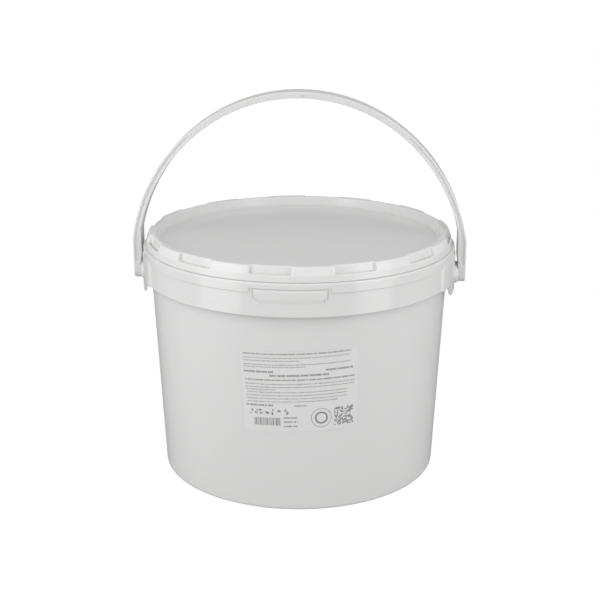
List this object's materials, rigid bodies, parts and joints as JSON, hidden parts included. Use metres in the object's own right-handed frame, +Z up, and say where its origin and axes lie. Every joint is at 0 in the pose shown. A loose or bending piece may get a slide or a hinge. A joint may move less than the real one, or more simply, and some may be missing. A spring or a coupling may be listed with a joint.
{
  "type": "cream cheese bucket",
  "caption": "Round white plastic food bucket with a push-on lid, an upright swinging bail handle and a plain front label.",
  "frame": {"origin": "centre of the foot ring on the ground", "axes": "+Z up; the handle pivots lie on X; the label and the tab panel face -Y"},
  "size_m": [0.3056, 0.2848, 0.3478],
  "materials": {
    "tub_plastic": "satin moulded white polypropylene",
    "lid_plastic": "satin moulded white polypropylene",
    "handle_plastic": "satin moulded white polypropylene",
    "label_film": "smooth white self-adhesive label with grey print"
  },
  "bodies": {
    "bucket": {"tub": "tub_plastic", "label": "label_film"},
    "cover": {"lid": "lid_plastic"},
    "bail": {"handle": "handle_plastic"}
  },
  "joints": [
    {"name": "handle_swing", "type": "hinge", "parent": "bucket", "child": "bail", "pos_m": [0, 0, 0.1824], "axis": [1, 0, 0], "range_deg": [-118, 118]},
    {"name": "lid_lift", "type": "slide", "parent": "bucket", "child": "cover", "axis": [0, 0, 1], "range_m": [0, 0.013]}
  ]
}
